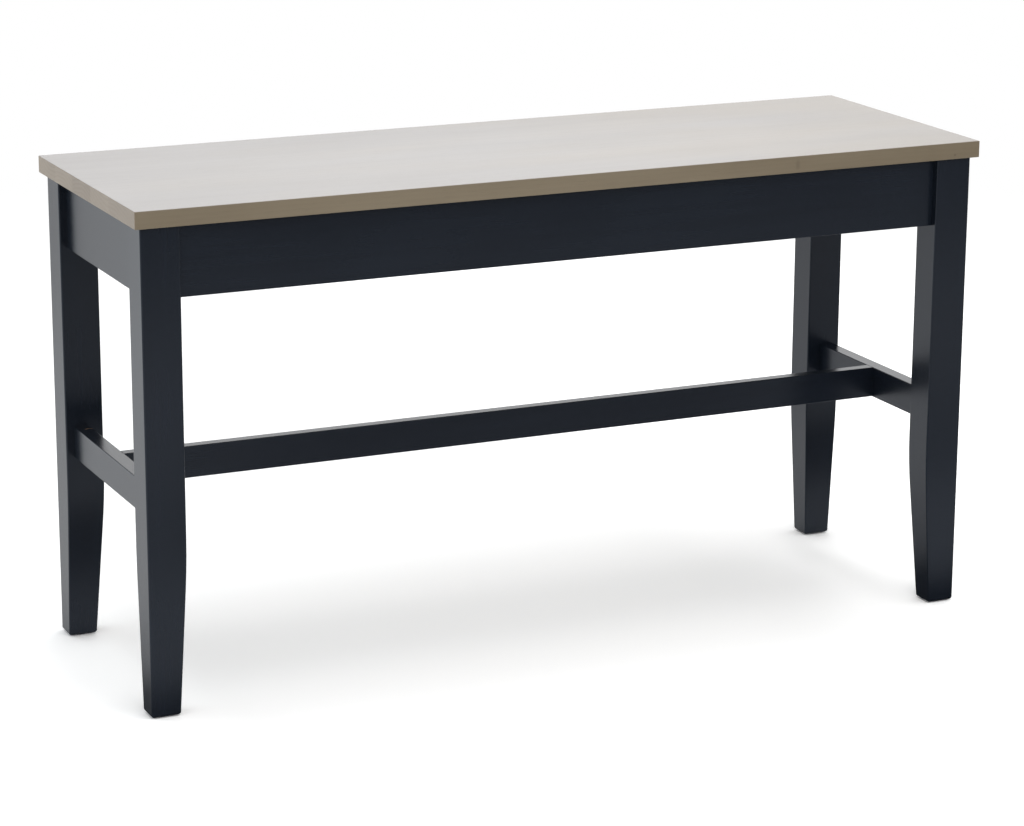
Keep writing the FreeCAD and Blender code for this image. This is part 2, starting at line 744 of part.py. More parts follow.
doc.recompute()
for piece in doc.Objects:
    if {"Invalid", "Error"} & set(piece.State):
        raise RuntimeError(f"{piece.Label} did not compute")
for node in nodes:
    if node.Shape.isNull() or not node.Shape.isValid() or not node.Shape.Solids:
        raise RuntimeError(f"{node.Label} is not a sound solid")

os.makedirs("parts", exist_ok=True)
for node in nodes:
    node.Shape.exportStep(f"parts/{node.Label}.step")
    print(f"{node.Label}: {len(node.Shape.Solids)} solids, {node.Shape.Volume:.1f} mm3")
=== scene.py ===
import math

import bpy
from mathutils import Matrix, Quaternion, Vector


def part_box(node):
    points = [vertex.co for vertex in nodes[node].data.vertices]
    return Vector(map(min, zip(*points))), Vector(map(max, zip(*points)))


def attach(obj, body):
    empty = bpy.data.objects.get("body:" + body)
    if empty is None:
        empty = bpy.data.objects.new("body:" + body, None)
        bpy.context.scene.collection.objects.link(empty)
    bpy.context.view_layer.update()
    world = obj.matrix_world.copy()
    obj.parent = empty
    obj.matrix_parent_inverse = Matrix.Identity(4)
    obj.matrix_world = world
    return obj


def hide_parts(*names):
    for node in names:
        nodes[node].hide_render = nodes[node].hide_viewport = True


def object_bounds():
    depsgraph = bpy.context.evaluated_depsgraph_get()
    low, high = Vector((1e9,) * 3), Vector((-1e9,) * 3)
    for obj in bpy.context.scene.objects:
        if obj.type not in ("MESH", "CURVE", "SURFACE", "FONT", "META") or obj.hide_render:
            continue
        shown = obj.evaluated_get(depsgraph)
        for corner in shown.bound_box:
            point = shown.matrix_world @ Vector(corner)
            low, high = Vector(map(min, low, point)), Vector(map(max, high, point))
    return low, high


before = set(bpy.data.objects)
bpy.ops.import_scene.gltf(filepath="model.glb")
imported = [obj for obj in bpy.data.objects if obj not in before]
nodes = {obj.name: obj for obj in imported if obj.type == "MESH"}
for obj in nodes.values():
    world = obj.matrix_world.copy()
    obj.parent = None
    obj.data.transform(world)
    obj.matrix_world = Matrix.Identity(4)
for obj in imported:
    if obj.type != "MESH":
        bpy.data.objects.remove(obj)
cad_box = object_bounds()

# A counter-height bench: a grey-washed board seat on a navy painted frame, with corner blocks and
# bearers of pale wood, zinc-plated fasteners and plastic glides. Metres, +Z up, length along X,
# front towards -Y.

MM = 0.001
UP = Vector((0, 0, 1))
scene = bpy.context.scene


def colour(red, green, blue):
    """A colour-chart tone, 0 to 255 a channel, as a shader colour."""
    tones = [tone / 255 for tone in (red, green, blue)]
    return (*(tone / 12.92 if tone <= 0.04045 else ((tone + 0.055) / 1.055) ** 2.4 for tone in tones), 1)


# Shader maths

class Socket:
    """A shader socket that sums like a number: each operation adds its node."""

    def __init__(self, tree, socket):
        self.tree = tree
        self.socket = socket

    def node(self, kind, settings, inputs, output=0):
        """Adds any node: its settings first, then the values or links of its sockets."""
        node = self.tree.nodes.new(kind)
        for name, value in settings.items():
            setattr(node, name, value)
        for name, value in inputs.items():
            if isinstance(value, Socket):
                self.tree.links.new(value.socket, node.inputs[name])
            else:
                node.inputs[name].default_value = value
        return Socket(self.tree, node.outputs[output])

    def maths(self, operation, first, second=0.0):
        return self.node("ShaderNodeMath", {"operation": operation}, {0: first, 1: second})

    def __add__(self, other):
        return self.maths("ADD", self, other)

    def __radd__(self, other):
        return self.maths("ADD", other, self)

    def __sub__(self, other):
        return self.maths("SUBTRACT", self, other)

    def __rsub__(self, other):
        return self.maths("SUBTRACT", other, self)

    def __mul__(self, other):
        return self.maths("MULTIPLY", self, other)

    def __rmul__(self, other):
        return self.maths("MULTIPLY", other, self)

    def __pow__(self, other):
        return self.maths("POWER", self, other)

    def feed(self, shader, name):
        """Links the socket into a shader's own input."""
        self.tree.links.new(self.socket, shader.inputs[name])


def axes(point):
    """The three parts of a vector."""
    return [point.node("ShaderNodeSeparateXYZ", {}, {0: point}, axis) for axis in range(3)]


def slope(value, start, end):
    """Runs smoothly from 0 at start to 1 at end."""
    inputs = {"Value": value, "From Min": start, "From Max": end}
    return value.node("ShaderNodeMapRange", {"interpolation_type": "SMOOTHSTEP"}, inputs)


def band(value, start, full, hold, end):
    """Runs smoothly from 0 at start to 1 at full, stays there up to hold and is 0 again at end."""
    return slope(value, start, full) * slope(value, end, hold)


def length(*parts):
    """The length of a vector given by two or three parts."""
    return sum(part * part for part in parts) ** 0.5


def even(waves):
    """The same number of waves along each axis."""
    return (waves, waves, waves)


def cloud(point, waves, shift=(0, 0, 0), detail=3.0, roughness=0.5):
    """Noise about 0.5 with so many waves to the metre along each axis."""
    placed = point.node("ShaderNodeMapping", {}, {"Vector": point, "Scale": waves, "Location": shift})
    inputs = {"Vector": placed, "Scale": 1.0, "Detail": detail, "Roughness": roughness}
    return point.node("ShaderNodeTexNoise", {}, inputs)


def tint(mask, low, high):
    """One colour where a mask is 0, another where it is 1."""
    return mask.node("ShaderNodeMix", {"data_type": "RGBA"}, {0: mask, 6: low, 7: high}, 2)


def bump(height, depth, strength):
    """A surface's small relief, as a normal."""
    return height.node("ShaderNodeBump", {}, {"Height": height, "Distance": depth, "Strength": strength})


def facing(point):
    """The three parts of the way a surface faces."""
    return axes(point.node("ShaderNodeNewGeometry", {}, {}, "Normal"))


def ray_kinds(tree, *kinds):
    """For each kind of ray, a mask that is 1 where a shader answers such a ray."""
    path = tree.nodes.new("ShaderNodeLightPath")
    return [Socket(tree, path.outputs[f"Is {kind} Ray"]) for kind in kinds]


def new_material(name):
    """A material, its shader and the object's own coordinates."""
    material = bpy.data.materials.new(name)
    material.use_nodes = True
    tree = material.node_tree
    coordinates = tree.nodes.new("ShaderNodeTexCoord")
    return material, tree.nodes["Principled BSDF"], Socket(tree, coordinates.outputs["Object"])


def dress(material, *names):
    """Gives CAD nodes a finish."""
    for name in names:
        nodes[name].material_slots[0].material = material


# Seat: boards of grey-washed wood

SEAT_FRONT = cad_box[0].y
SEAT_TOP = cad_box[1].z
EDGE_PALE = colour(137, 125, 105)
EDGE_DEEP = colour(107, 95, 75)
END_PALE = colour(147, 132, 114)
END_DEEP = colour(119, 104, 87)
# The top's colours: a grey wash, paler than the edges partly as painted sheen
SHEEN_WASH_COOL_PALE = colour(182, 179, 177)
SHEEN_WASH_COOL_DEEP = colour(164, 160, 158)
SHEEN_WASH_WARM_PALE = colour(184, 178, 172)
SHEEN_WASH_WARM_DEEP = colour(167, 160, 152)
PORE_BROWN = colour(84, 72, 60)
KNOT_BROWN = colour(88, 76, 62)

# Waves to the metre: few along the board, many across it
WANDER_WAVES = (1.6, 9, 9)
WOBBLE_WAVES = (3, 40, 40)
FIBRE_WAVES = (14, 700, 700)
STREAK_WAVES = (2.2, 70, 70)
PATCH_WAVES = (4.5, 14, 14)
PORE_WAVES = (45, 1500, 1500)
WARMTH_WAVES = (3, 9, 9)

# Each board's own noise starts a step further on, and patches and warmth run on from board to board
BOARD_STEP = (0.37, 0.61, 0.23)
PATCH_SHIFT = (0.1, 0.2, 0.3)
WARMTH_SHIFT = (0.7, 0.1, 0.5)

# Growth rings: how dense, how far they stray, and which part of each ring is dark late wood
RINGS_TO_METRE = 190
RING_WOBBLE = 1.2
ACROSS_WANDER = 50 * MM
DEEP_WANDER = 30 * MM
LATE_WOOD = (0.25, 0.9, 0.93, 1.0)
PORE_CUT = (0.66, 0.74)

# Spans along X or Y over which painted shade darkens the wood and its wash, and painted light pales its
# ends, and the span of its warmth
PAINTED_SHADE_RIGHT = (0.05, 0.5)
PAINTED_SHADE_LEFT = (-0.35, -0.55)
PAINTED_SHADE_WASH_RIGHT = (0.1, 0.5)
PAINTED_SHADE_WASH_BACK = (0.0, 0.18)
PAINTED_LIGHT_END_BACK = (-0.05, 0.15)
WARMER = (-0.5, 0.9)

# How far a face must turn up, or to an end, to take the finish of the top, a wash made paler by painted
# sheen, or of the ends
TURNED_UP = (0.5, 0.9)
TURNED_TO_END = (0.25, 0.8)

GRAIN_DEPTH = 0.04 * MM
KNOT_X = 296 * MM
KNOT_DROP = 11 * MM
KNOT_FADE = (7 * MM, 1 * MM)
PIN_X = 522.6 * MM
PIN_DROP = 15.5 * MM
PIN_FADE = (2.2 * MM, 0.8 * MM)


def seat_wood(number, heart, tone):
    """A board's wood: growth rings about its heart, fibres along X, a grey wash on top, paler than the edges
    partly as painted sheen.
    """
    material, shader, point = new_material(f"washed_wood_{number}")
    x, y, z = axes(point)
    shift = tuple(number * step for step in BOARD_STEP)
    wander = cloud(point, WANDER_WAVES, shift, 2.0) - 0.5
    across = y - heart[0] + ACROSS_WANDER * wander
    deep = z - heart[1] + DEEP_WANDER * wander
    rings = RINGS_TO_METRE * length(across, deep) + RING_WOBBLE * cloud(point, WOBBLE_WAVES, shift)
    late = band(point.maths("FRACT", rings), *LATE_WOOD)
    fibre = cloud(point, FIBRE_WAVES, shift, 3.0, 0.6)
    streak = cloud(point, STREAK_WAVES, shift, 3.0, 0.6)
    patch = cloud(point, PATCH_WAVES, PATCH_SHIFT)
    pore = slope(cloud(point, PORE_WAVES, shift, 1.0), *PORE_CUT)

    # From 0, pale, to 1, deep; painted shade darkens the wood towards the right end and the left end
    painted_shade_drift = 0.26 * slope(x, *PAINTED_SHADE_RIGHT) + 0.16 * slope(x, *PAINTED_SHADE_LEFT)
    grain = 0.42 + tone + painted_shade_drift + 0.7 * (patch - 0.5) + 0.05 * (late - 0.4) + 0.06 * (fibre + streak - 1)

    # The wash on top, paler with painted sheen, gets warmer to the right, and painted shade makes it deeper
    # to the right and to the back
    warmth = slope(0.9 * x + 2.2 * (cloud(point, WARMTH_WAVES, WARMTH_SHIFT, 2.0) - 0.5), *WARMER)
    pale = tint(warmth, SHEEN_WASH_COOL_PALE, SHEEN_WASH_WARM_PALE)
    dark = tint(warmth, SHEEN_WASH_COOL_DEEP, SHEEN_WASH_WARM_DEEP)
    painted_shade_on_wash = 0.25 * slope(x, *PAINTED_SHADE_WASH_RIGHT) + 0.4 * slope(y, *PAINTED_SHADE_WASH_BACK)
    wash_and_sheen = tint(grain + painted_shade_on_wash, pale, dark)

    # The boards' ends show their rings and differ more from board to board, and painted light pales them
    # towards the back
    end_grain = grain + 2 * tone + 0.15 * (late - 0.4) - 0.25 * slope(y, *PAINTED_LIGHT_END_BACK)
    turn = facing(point)
    top = slope(turn[2], *TURNED_UP)
    end = slope(turn[0] * turn[0], *TURNED_TO_END)
    edge = tint(end, tint(grain, EDGE_PALE, EDGE_DEEP), tint(end_grain, END_PALE, END_DEEP))
    surface = tint(0.25 * pore, tint(top, edge, wash_and_sheen), PORE_BROWN)

    # A small knot and a dark pin mark in the front edge
    behind = y - SEAT_FRONT
    drop = SEAT_TOP - z
    knot = slope(length(1.6 * (x - KNOT_X), behind, 0.7 * (drop - KNOT_DROP)), *KNOT_FADE)
    pin = slope(length(x - PIN_X, behind, drop - PIN_DROP), *PIN_FADE)
    tint(0.35 * knot + 0.6 * pin, surface, KNOT_BROWN).feed(shader, "Base Color")
    (0.35 + 0.03 * fibre + 0.01 * late).feed(shader, "Roughness")
    (0.15 * top).feed(shader, "Coat Weight")
    shader.inputs["Coat Roughness"].default_value = 0.3
    bump(fibre + 0.1 * late - 0.8 * pore, GRAIN_DEPTH, 0.4).feed(shader, "Normal")
    return material


# Where each board's rings centre, as a Y and a height, and how much deeper the board is
BOARD_HEARTS = [(-0.10, 0.47), (-0.08, 0.72), (0.02, 0.50), (0.10, 0.44), (0.13, 0.70)]
BOARD_TONES = [0.0, -0.06, 0.04, -0.03, 0.03]
for number, (heart, tone) in enumerate(zip(BOARD_HEARTS, BOARD_TONES), 1):
    dress(seat_wood(number, heart, tone), f"seat_board_{number}")


# Frame: satin navy paint, its faint grain running along each member

PAINT_DARK = colour(17, 22, 30)
PAINT_LIGHT = colour(21, 27, 36)
PAINT_IOR = 1.45
PAINT_GLOSS = (0.82, 0.88, 1, 1)
PAINT_RELIEF = 0.06 * MM
GRAIN_ALONG = 5
GRAIN_ACROSS = 110
SHADE_WAVES = even(4)
SPRAY_WAVES = even(900)
RUBBED_BROWN = colour(160, 126, 86)
RUB_MIDDLE = (-526.2 * MM, 113.5 * MM, 277.6 * MM)
RUB_RADIUS = 5.2 * MM
RUB_HALF_WIDTH = 1.4 * MM
RUB_START = RUB_MIDDLE[1] - 1 * MM
RUB_FULL = RUB_MIDDLE[1] + 3 * MM
RUB_WAVES = even(700)


def navy_paint(name, along):
    """Satin paint over a faint grain that runs along one axis."""
    material, shader, point = new_material(name)
    x, y, z = axes(point)
    grain = [GRAIN_ALONG if axis == along else GRAIN_ACROSS for axis in range(3)]
    patch = cloud(point, SHADE_WAVES, (0.3, 0.8, 0.1), 2.0)
    fibre = cloud(point, grain, (0.1, 0.2, 0.7), 3.0, 0.6)
    spray = cloud(point, SPRAY_WAVES, detail=1.0)
    paint = tint(slope(0.6 * patch + 0.4 * fibre, 0.3, 0.7), PAINT_DARK, PAINT_LIGHT)

    # A short curved rub where the left stretcher meets the back leg
    away = length(x - RUB_MIDDLE[0], y - RUB_MIDDLE[1], z - RUB_MIDDLE[2])
    arc = band(away, RUB_RADIUS - RUB_HALF_WIDTH, RUB_RADIUS, RUB_RADIUS, RUB_RADIUS + RUB_HALF_WIDTH)
    rub = arc * slope(y, RUB_START, RUB_FULL) * slope(cloud(point, RUB_WAVES, detail=2.0), 0.35, 0.6)
    tint(rub, paint, RUBBED_BROWN).feed(shader, "Base Color")
    (0.21 + 0.06 * patch + 0.03 * fibre).feed(shader, "Roughness")
    bump(0.6 * fibre + 0.3 * spray, PAINT_RELIEF, 0.25).feed(shader, "Normal")
    shader.inputs["IOR"].default_value = PAINT_IOR
    shader.inputs["Specular Tint"].default_value = PAINT_GLOSS
    return material


CORNERS = ("front_left", "front_right", "back_left", "back_right")
dress(navy_paint("navy_paint_upright", 2), *(f"leg_{corner}" for corner in CORNERS))
dress(navy_paint("navy_paint_long", 0), "apron_front", "apron_back", "stretcher_centre")
dress(navy_paint("navy_paint_cross", 1), "apron_left", "apron_right", "stretcher_left", "stretcher_right")


# Hidden wood: corner blocks, bearers and dowels, sanded and unpainted

RAW_PALE = colour(214, 187, 146)
RAW_DEEP = colour(178, 143, 99)
RAW_PORE = colour(132, 98, 62)
RAW_WANDER_WAVES = (5, 30, 30)
RAW_FIBRE_WAVES = (30, 900, 900)
RAW_SAW_WAVES = (420, 12, 12)
RAW_PORE_WAVES = (90, 1700, 1700)
RAW_RINGS_TO_METRE = 260
RAW_HEART_HEIGHT = 470 * MM
RAW_LATE_WOOD = (0.2, 0.9, 0.94, 1.0)
RAW_RELIEF = 0.2 * MM


def raw_wood(name, turn):
    """Pale wood whose fibres run along X, turned about Z to lie along its piece."""
    material, shader, point = new_material(name)
    turned = point.node("ShaderNodeMapping", {}, {"Vector": point, "Rotation": (0, 0, -math.radians(turn))})
    y, z = axes(turned)[1:]
    wander = cloud(turned, RAW_WANDER_WAVES, (0.2, 0.4, 0.6), 2.0)
    rings = RAW_RINGS_TO_METRE * length(y + 0.02 * wander, z - RAW_HEART_HEIGHT) + 0.8 * wander
    late = band(point.maths("FRACT", rings), *RAW_LATE_WOOD)
    fibre = cloud(turned, RAW_FIBRE_WAVES, (0.5, 0.3, 0.1), 3.0, 0.6)
    saw = cloud(turned, RAW_SAW_WAVES, (0.9, 0.1, 0.4), 1.0)
    pore = slope(cloud(turned, RAW_PORE_WAVES, detail=1.0), 0.65, 0.75)
    grain = 0.15 + 0.45 * late + 0.5 * (fibre - 0.5) + 0.3 * (wander - 0.5) + 0.12 * (saw - 0.5)
    tint(0.5 * pore, tint(grain, RAW_PALE, RAW_DEEP), RAW_PORE).feed(shader, "Base Color")
    (0.58 + 0.18 * fibre).feed(shader, "Roughness")
    bump(fibre + 0.5 * saw - pore, RAW_RELIEF, 0.6).feed(shader, "Normal")
    return material


dress(raw_wood("raw_wood_falling", -45), "corner_block_front_left", "corner_block_back_right")
dress(raw_wood("raw_wood_rising", 45), "corner_block_front_right", "corner_block_back_left")
dress(raw_wood("raw_wood_cross", 90), "seat_bearer_left", "seat_bearer_right", "bearer_dowels")
dress(raw_wood("raw_wood_long", 0), "apron_dowels", "stretcher_dowels")


# Fasteners and glides: finishes

ZINC_DULL = colour(171, 174, 180)
ZINC_BRIGHT = colour(208, 209, 208)
ZINC_YELLOWED = colour(178, 172, 150)
SPANGLE_WAVES = even(520)
HAZE_WAVES = even(70)
ZINC_RELIEF = 0.03 * MM


def zinc_plate():
    """Zinc plating with a fine spangle, yellowed in patches."""
    material, shader, point = new_material("zinc_plate")
    spangle = cloud(point, SPANGLE_WAVES, (0.2, 0.5, 0.8), 4.0, 0.6)
    haze = cloud(point, HAZE_WAVES, (0.6, 0.1, 0.3), 2.0)
    plate = tint(slope(spangle, 0.3, 0.7), ZINC_DULL, ZINC_BRIGHT)
    tint(0.35 * slope(haze, 0.45, 0.7), plate, ZINC_YELLOWED).feed(shader, "Base Color")
    (0.24 + 0.14 * spangle + 0.12 * haze).feed(shader, "Roughness")
    bump(spangle, ZINC_RELIEF, 0.5).feed(shader, "Normal")
    shader.inputs["Metallic"].default_value = 1.0
    return material


PLASTIC_DARK = colour(30, 30, 32)
PLASTIC_LIGHT = colour(40, 40, 43)
PLASTIC_SCUFFED = colour(96, 94, 90)
MOULD_WAVES = even(1800)
SCRATCH_WAVES = (160, 2600, 2600)
TURNED_DOWN = (-0.7, -0.98)
PLASTIC_RELIEF = 0.04 * MM


def glide_plastic():
    """Dark moulded plastic, scuffed pale where it slides on the floor."""
    material, shader, point = new_material("moulded_plastic")
    mould = cloud(point, MOULD_WAVES, detail=2.0)
    scratch = cloud(point, SCRATCH_WAVES, (0.3, 0.3, 0.3), 2.0)
    scuff = slope(facing(point)[2], *TURNED_DOWN) * slope(scratch, 0.5, 0.68)
    plain = tint(mould, PLASTIC_DARK, PLASTIC_LIGHT)
    tint(0.6 * scuff, plain, PLASTIC_SCUFFED).feed(shader, "Base Color")
    (0.44 + 0.12 * mould + 0.2 * scuff).feed(shader, "Roughness")
    bump(mould - 0.6 * scuff, PLASTIC_RELIEF, 0.5).feed(shader, "Normal")
    return material


# Fasteners and glides: modelling

# How near points lie to be one, how near a height is to count as it, and what counts as level or on a rim
MERGE_GAP = 0.001 * MM
LEVEL_GAP = 0.01 * MM
LEVEL_FACE = 0.99
RIM_SHARE = 0.06
SMOOTH_ANGLE = math.radians(35)


def mode(name):
    bpy.ops.object.mode_set(mode=name)


def begin(add, **shape):
    """Adds a primitive with nothing else selected."""
    bpy.ops.object.select_all(action="DESELECT")
    add(**shape)
    bpy.ops.object.transform_apply(location=True, rotation=True, scale=True)
    return bpy.context.object


def begin_disc(sides, radius, low, high):
    """A round or many-sided blank about Z between two heights."""
    shape = {"vertices": sides, "radius": radius, "depth": high - low, "location": (0, 0, (low + high) / 2)}
    return begin(bpy.ops.mesh.primitive_cylinder_add, **shape)


def select_only(*pieces):
    bpy.ops.object.select_all(action="DESELECT")
    for piece in pieces:
        piece.select_set(True)
    bpy.context.view_layer.objects.active = pieces[0]


def pick(kind, test):
    """Leaves the mesh in edit mode, with the points, edges or faces selected that pass a test."""
    mesh = bpy.context.object.data
    mode("EDIT")
    bpy.ops.mesh.select_mode(type=kind)
    bpy.ops.mesh.select_all(action="DESELECT")
    mode("OBJECT")
    for part in {"VERT": mesh.vertices, "EDGE": mesh.edges, "FACE": mesh.polygons}[kind]:
        part.select = test(part)
    mode("EDIT")


def pick_rims(radius, *heights):
    """Selects the level edges of a turned piece at a radius and some heights."""
    points = bpy.context.object.data.vertices
    near = RIM_SHARE * radius

    def on_rim(edge):
        ends = [points[end].co for end in edge.vertices]
        level = any(all(abs(end.z - height) < near for end in ends) for height in heights)
        return level and all(abs(end.xy.length - radius) < near for end in ends)

    pick("EDGE", on_rim)


def is_level(face):
    return abs(face.normal.z) > LEVEL_FACE


def pick_end(height):
    """Selects the level faces at a height."""
    pick("FACE", lambda face: is_level(face) and abs(face.center.z - height) < LEVEL_GAP)


def pull(x, y, z):
    """Extrudes what is selected."""
    bpy.ops.mesh.extrude_region_move(TRANSFORM_OT_translate={"value": (x, y, z)})


def merge_doubles():
    """Merges the points of a mesh in edit mode that lie on one another, and leaves all selected."""
    bpy.ops.mesh.select_all(action="SELECT")
    bpy.ops.mesh.remove_doubles(threshold=MERGE_GAP)


def finish_mesh():
    """Merges doubles, turns the faces outwards and shades the round faces smooth."""
    mode("EDIT")
    merge_doubles()
    bpy.ops.mesh.normals_make_consistent(inside=False)
    mode("OBJECT")
    bpy.ops.object.shade_smooth_by_angle(angle=SMOOTH_ANGLE)


def apply_modifier(piece, kind, **settings):
    modifier = piece.modifiers.new(kind.lower(), kind)
    for name, value in settings.items():
        setattr(modifier, name, value)
    select_only(piece)
    bpy.ops.object.modifier_apply(modifier=modifier.name)


def carve(piece, tool, operation):
    """Cuts a tool out of a piece, or keeps only what both hold."""
    apply_modifier(piece, "BOOLEAN", object=tool, operation=operation, solver="EXACT")
    bpy.data.objects.remove(tool)


def join_pieces(*pieces):
    select_only(*pieces)
    bpy.ops.object.join()
    return bpy.context.object


# One tooth of a thread, by shares of its depth and pitch: land, flank, crest, flank, land
TOOTH = [(0, 0.14), (1, 0.3), (0, 0.12), (-1, 0.3), (0, 0.14)]
THREAD_STEPS = 16


def model_thread(pitch, root, crest, low, high):
    """A closed threaded rod about Z: one tooth swept up a helix, cut flat at both ends."""
    rod = begin(bpy.ops.mesh.primitive_plane_add, size=pitch)
    mode("EDIT")
    bpy.ops.mesh.select_mode(type="VERT")
    bpy.ops.mesh.select_all(action="SELECT")
    bpy.ops.mesh.merge(type="CENTER")
    bpy.ops.transform.translate(value=(root, 0, low - pitch))
    for out, up in TOOTH:
        pull(out * (crest - root), 0, up * pitch)
    mode("OBJECT")
    turns = math.ceil((high - low) / pitch) + 2
    sweep = {"screw_offset": pitch, "iterations": turns, "steps": THREAD_STEPS, "render_steps": THREAD_STEPS}
    apply_modifier(rod, "SCREW", **sweep)
    mode("EDIT")
    for end, way in ((low, -1), (high, 1)):
        merge_doubles()
        bpy.ops.mesh.bisect(plane_co=(0, 0, end), plane_no=(0, 0, way), use_fill=True, clear_outer=True)
    mode("OBJECT")
    return rod


def sharpen(end, tip):
    """Draws a rod's end face out to a point."""
    pick_end(end)
    pull(0, 0, tip - end)
    bpy.ops.mesh.merge(type="CENTER")
    mode("OBJECT")


# A bolt, its washer and its nut are modelled about the washer's middle, Z from the leg to the nut
BOLT_RADIUS = 4 * MM
WASHER_SIDES = 48
WASHER_RADIUS = 8 * MM
WASHER_HALF = 0.8 * MM
WASHER_ROOM = 0.2 * MM
WASHER_ROUNDING = 0.3 * MM
BLOCK_REACH = 25 * MM
NUT_WIDTH = 13 * MM
NUT_HEIGHT = 6.5 * MM
NUT_CHAMFER = 0.7 * MM
NUT_FACE_RADIUS = 0.48 * NUT_WIDTH
NUT_CONE_SIDES = 72
BORE_SIDES = 40
BORE_CHAMFER = 0.5 * MM
MACHINE_PITCH = 1.25 * MM
MACHINE_ROOT = 3.3 * MM
WOOD_PITCH = 2.8 * MM
WOOD_ROOT = 2.9 * MM
BOLT_TAIL = WASHER_HALF + NUT_HEIGHT + 3 * MM
BOLT_FLAT = -WASHER_HALF - BLOCK_REACH
BOLT_TIP = BOLT_FLAT - 38 * MM
BOLT_POINT = 5 * MM
TAIL_CHAMFER = 0.6 * MM
TAIL_SHARE = 0.84


def model_washer():
    """A flat washer with rounded rims."""
    washer = begin_disc(WASHER_SIDES, WASHER_RADIUS, -WASHER_HALF, WASHER_HALF)
    pick("FACE", is_level)
    bpy.ops.mesh.inset(thickness=WASHER_RADIUS - BOLT_RADIUS - WASHER_ROOM, use_individual=True)
    bpy.ops.mesh.bridge_edge_loops()
    pick_rims(WASHER_RADIUS, WASHER_HALF, -WASHER_HALF)
    bpy.ops.mesh.bevel(offset=WASHER_ROUNDING, segments=3)
    finish_mesh()
    return washer


def model_nut():
    """A hexagon whose corners are turned down to a cone at both faces, with a countersunk bore."""
    low, high = WASHER_HALF, WASHER_HALF + NUT_HEIGHT
    corner = NUT_WIDTH / math.sqrt(3)
    cone_radius = 1.02 * corner
    cone = begin_disc(NUT_CONE_SIDES, cone_radius, low, high)
    pick("FACE", is_level)
    bpy.ops.mesh.inset(thickness=cone_radius - NUT_FACE_RADIUS, use_individual=True)
    for end, way in ((low, 1), (high, -1)):
        pick("VERT", lambda point: abs(point.co.z - end) < LEVEL_GAP and point.co.xy.length > corner)
        bpy.ops.transform.translate(value=(0, 0, way * NUT_CHAMFER))
    mode("OBJECT")
    nut = begin_disc(6, corner, low, high)
    carve(nut, cone, "INTERSECT")
    carve(nut, begin_disc(BORE_SIDES, BOLT_RADIUS, low - NUT_HEIGHT, high + NUT_HEIGHT), "DIFFERENCE")
    pick_rims(BOLT_RADIUS, low, high)
    bpy.ops.mesh.bevel(offset=BORE_CHAMFER, segments=1)
    finish_mesh()
    return nut


def model_bolt():
    """A hanger bolt: machine thread through the block and nut, wood thread and point in the leg."""
    machine = model_thread(MACHINE_PITCH, MACHINE_ROOT, BOLT_RADIUS, BOLT_FLAT, BOLT_TAIL - TAIL_CHAMFER)
    pick_end(BOLT_TAIL - TAIL_CHAMFER)
    pull(0, 0, TAIL_CHAMFER)
    bpy.ops.transform.resize(value=(TAIL_SHARE, TAIL_SHARE, 1), center_override=(0, 0, BOLT_TAIL))
    finish_mesh()
    wood = model_thread(WOOD_PITCH, WOOD_ROOT, BOLT_RADIUS, BOLT_TIP + BOLT_POINT, BOLT_FLAT)
    sharpen(BOLT_TIP + BOLT_POINT, BOLT_TIP)
    finish_mesh()
    return join_pieces(machine, wood)


# A screw is modelled with the underside of its head at the origin, Z into the wood
SCREW_RADIUS = 2 * MM
SCREW_PITCH = 1.8 * MM
SCREW_ROOT = 1.3 * MM
SCREW_POINT = 5 * MM
SHANK_OVERLAP = 0.3 * MM
HEAD_SIDES = 40
HEAD_RADIUS = 4 * MM
HEAD_HEIGHT = 2.6 * MM
HEAD_ROUNDING = 1.5 * MM
RECESS_LENGTH = 4.6 * MM
RECESS_WIDTH = 0.9 * MM
RECESS_DEPTH = 1.7 * MM
RECESS_TAPER = 0.45


def model_screw(reach):
    """A pan-head wood screw with a cross recess."""
    head = begin_disc(HEAD_SIDES, HEAD_RADIUS, -HEAD_HEIGHT, 0)
    pick_rims(HEAD_RADIUS, -HEAD_HEIGHT)
    bpy.ops.mesh.bevel(offset=HEAD_ROUNDING, segments=6)
    mode("OBJECT")
    for turn in (0, math.pi / 2):
        size = (RECESS_LENGTH, RECESS_WIDTH, 2 * RECESS_DEPTH)
        place = {"location": (0, 0, -HEAD_HEIGHT), "rotation": (0, 0, turn)}
        bar = begin(bpy.ops.mesh.primitive_cube_add, size=1, scale=size, **place)
        pick("FACE", lambda face: face.normal.z > LEVEL_FACE)
        bpy.ops.transform.resize(value=(RECESS_TAPER, RECESS_TAPER, 1), center_override=(0, 0, 0))
        mode("OBJECT")
        carve(head, bar, "DIFFERENCE")
    finish_mesh()
    shank = model_thread(SCREW_PITCH, SCREW_ROOT, SCREW_RADIUS, -SHANK_OVERLAP, reach - SCREW_POINT)
    sharpen(reach - SCREW_POINT, reach)
    finish_mesh()
    return join_pieces(head, shank)


GLIDE_SIDES = 64
GLIDE_THICKNESS = 2 * MM
GLIDE_ROUNDING = 0.5 * MM
NAIL_RADIUS = 1.2 * MM
NAIL_POINT = 3 * MM

# Insets from a glide's rim to its middle, each a share of its radius and a depth: flat rim, slope of
# the dish, floor of the dish, side of the nail head, crown of the nail head
GLIDE_STEPS = [(0.42, 0), (0.12, -0.4 * MM), (0.06, 0), (0.02, 0.25 * MM), (0.1, 0.08 * MM)]


